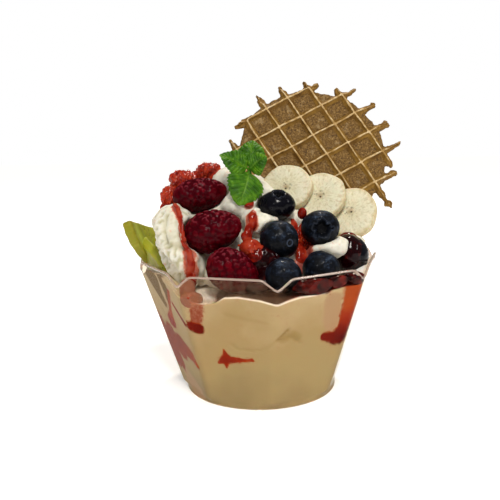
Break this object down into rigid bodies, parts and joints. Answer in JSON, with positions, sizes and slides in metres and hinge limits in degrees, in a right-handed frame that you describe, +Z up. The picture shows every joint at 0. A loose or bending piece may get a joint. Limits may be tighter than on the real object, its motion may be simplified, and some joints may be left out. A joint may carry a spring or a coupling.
{
  "type": "fruit sundae",
  "caption": "Dessert in a clear eight-sided cup: vanilla filling, whipped cream, berries, banana, kiwi and strawberry, a mint sprig and an upright round waffle.",
  "frame": {"origin": "middle of the cup's underside, on the surface it stands on", "axes": "+Z up; +X to the right and +Y away from the side with the raspberries in front"},
  "size_m": [0.1266, 0.1044, 0.1371],
  "materials": {
    "cup": "clear, glossy",
    "vanilla": "soft, satin",
    "cream": "soft, satin",
    "raspberry": "moist",
    "blueberry": "waxy bloom",
    "banana": "moist",
    "kiwi": "wet",
    "strawberry": "wet, glossy",
    "mint": "leafy, satin",
    "waffle": "baked, matt"
  },
  "bodies": {
    "root": {"cup": "cup", "filling": "vanilla", "whipped_cream": "cream", "raspberry_1": "raspberry", "raspberry_2": "raspberry", "raspberry_3": "raspberry", "blueberry_1": "blueberry", "blueberry_2": "blueberry", "blueberry_3": "blueberry", "blueberry_4": "blueberry", "blueberry_5": "blueberry", "blueberry_6": "blueberry", "banana_slice_1": "banana", "banana_slice_2": "banana", "banana_slice_3": "banana", "kiwi_slice_1": "kiwi", "kiwi_slice_2": "kiwi", "strawberry_1": "strawberry", "strawberry_2": "strawberry", "strawberry_3": "strawberry", "strawberry_4": "strawberry", "strawberry_5": "strawberry", "mint_sprig": "mint", "waffle": "waffle"}
  },
  "joints": []
}
